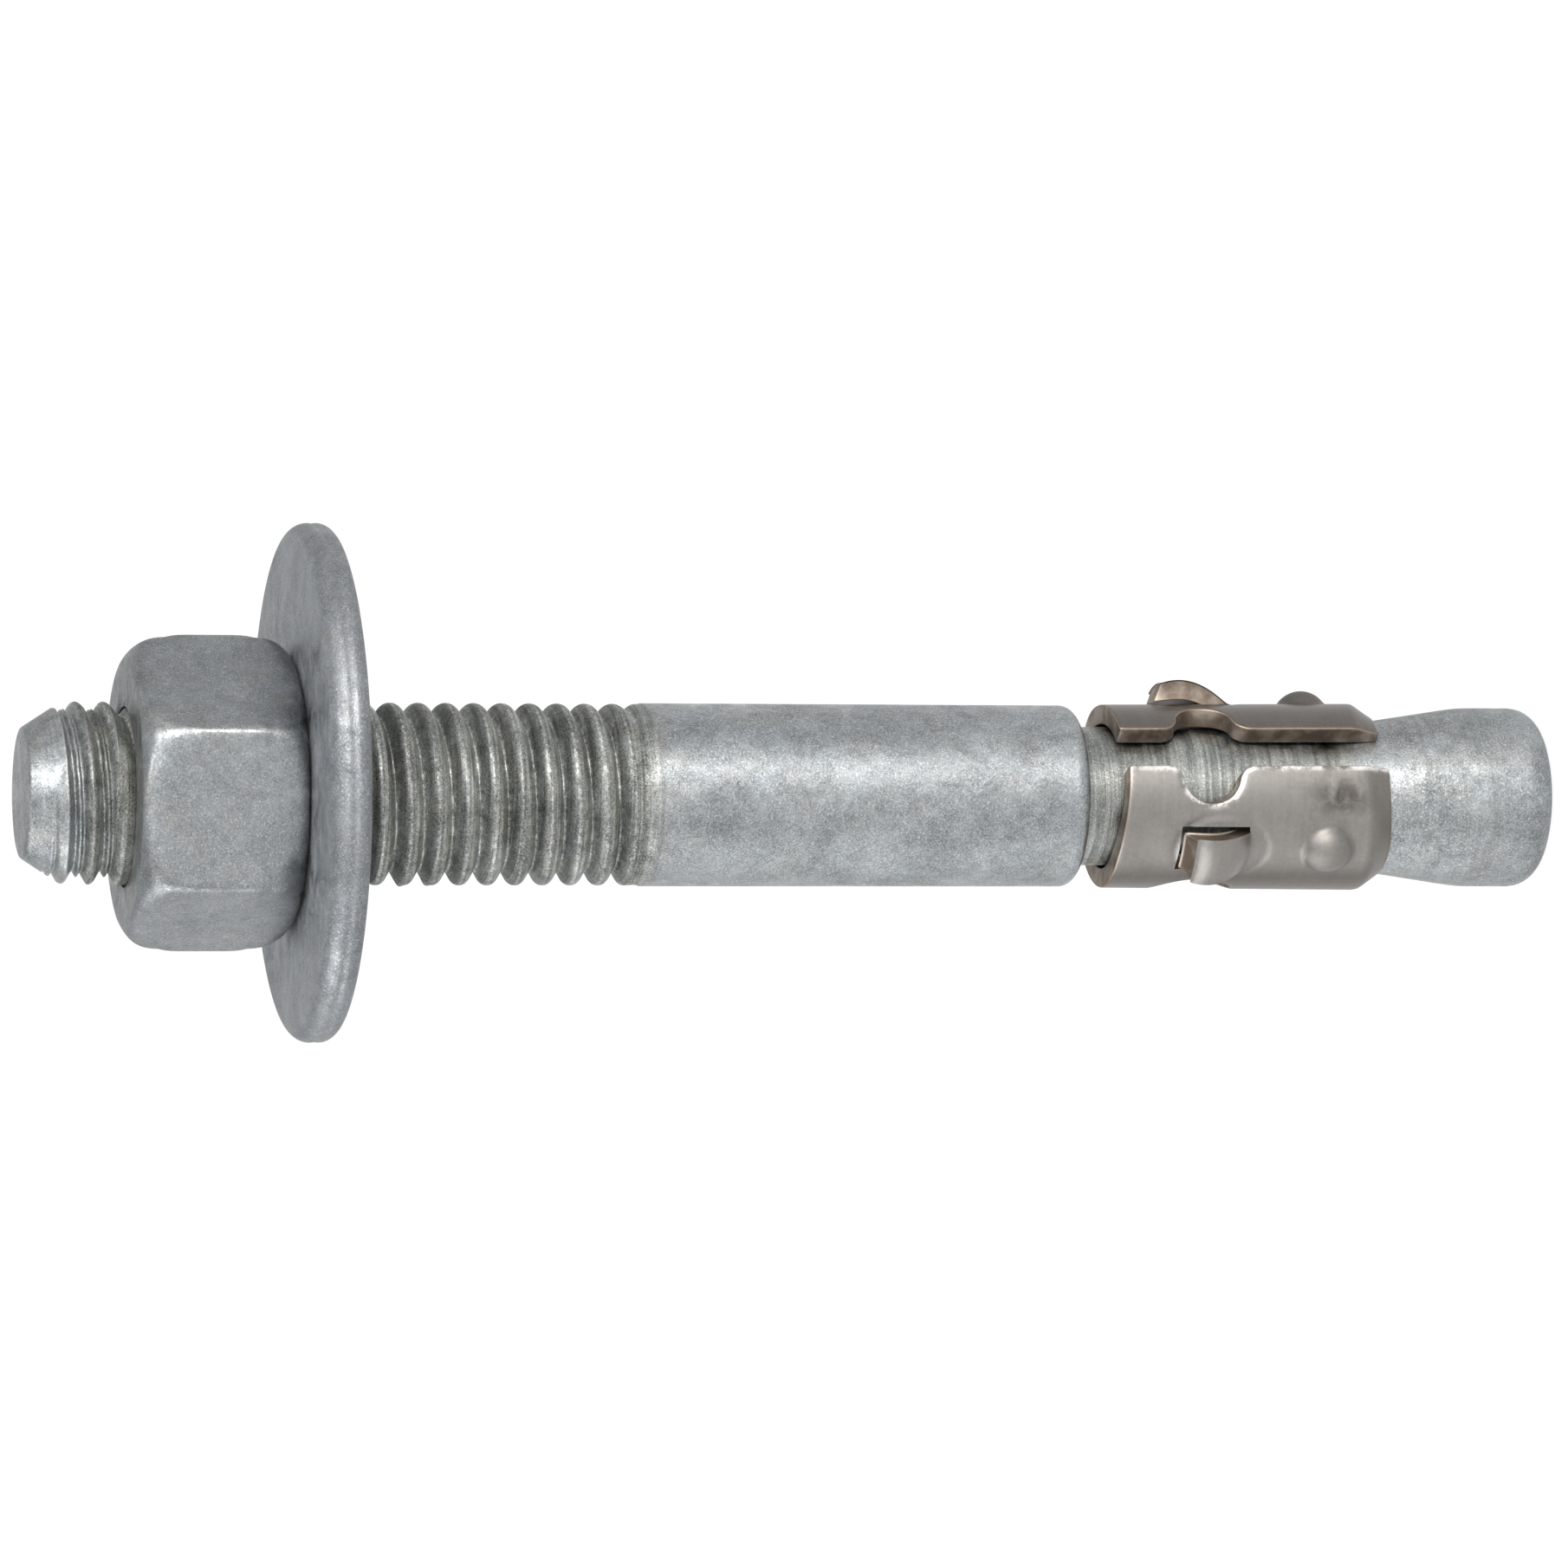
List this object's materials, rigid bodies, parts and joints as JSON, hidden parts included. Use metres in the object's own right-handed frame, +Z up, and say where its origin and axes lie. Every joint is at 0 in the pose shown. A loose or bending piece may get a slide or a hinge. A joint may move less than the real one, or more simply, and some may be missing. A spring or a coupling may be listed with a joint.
{
  "type": "wedge anchor",
  "caption": "Stud expansion anchor: threaded stud with a cone end, hex nut, flat washer and split expansion clip on its neck.",
  "frame": {"origin": "centre of the flat face at the cone end", "axes": "+Z up the stud's axis from the cone end to the threaded tip; +X to the side that the washer hangs off"},
  "size_m": [0.0357, 0.0358, 0.108],
  "materials": {
    "zinc_stud": "galvanized, matte, mottled",
    "zinc_nut": "galvanized, matte, bright worn corners",
    "zinc_washer": "galvanized, matte",
    "stainless_clip": "stainless strip, smooth, warm grey"
  },
  "bodies": {
    "stud": {"stud": "zinc_stud"},
    "washer": {"washer": "zinc_washer"},
    "nut": {"hex_nut": "zinc_nut"},
    "clip": {"expansion_clip": "stainless_clip"}
  },
  "joints": [
    {"name": "washer_slide", "type": "slide", "parent": "stud", "child": "washer", "axis": [0, 0, 1], "range_m": [-0.0234, 0.007]},
    {"name": "nut_turn", "type": "hinge", "parent": "washer", "child": "nut", "pos_m": [0, 0, 0.095], "axis": [0, 0, 1], "range_deg": [-4320, 1332]},
    {"name": "clip_slide", "type": "slide", "parent": "stud", "child": "clip", "axis": [0, 0, 1], "range_m": [0, 0.00145]}
  ],
  "couplings": [
    {"joint": "nut_turn", "follows": "washer_slide", "rad_per_m": 3215.8}
  ]
}
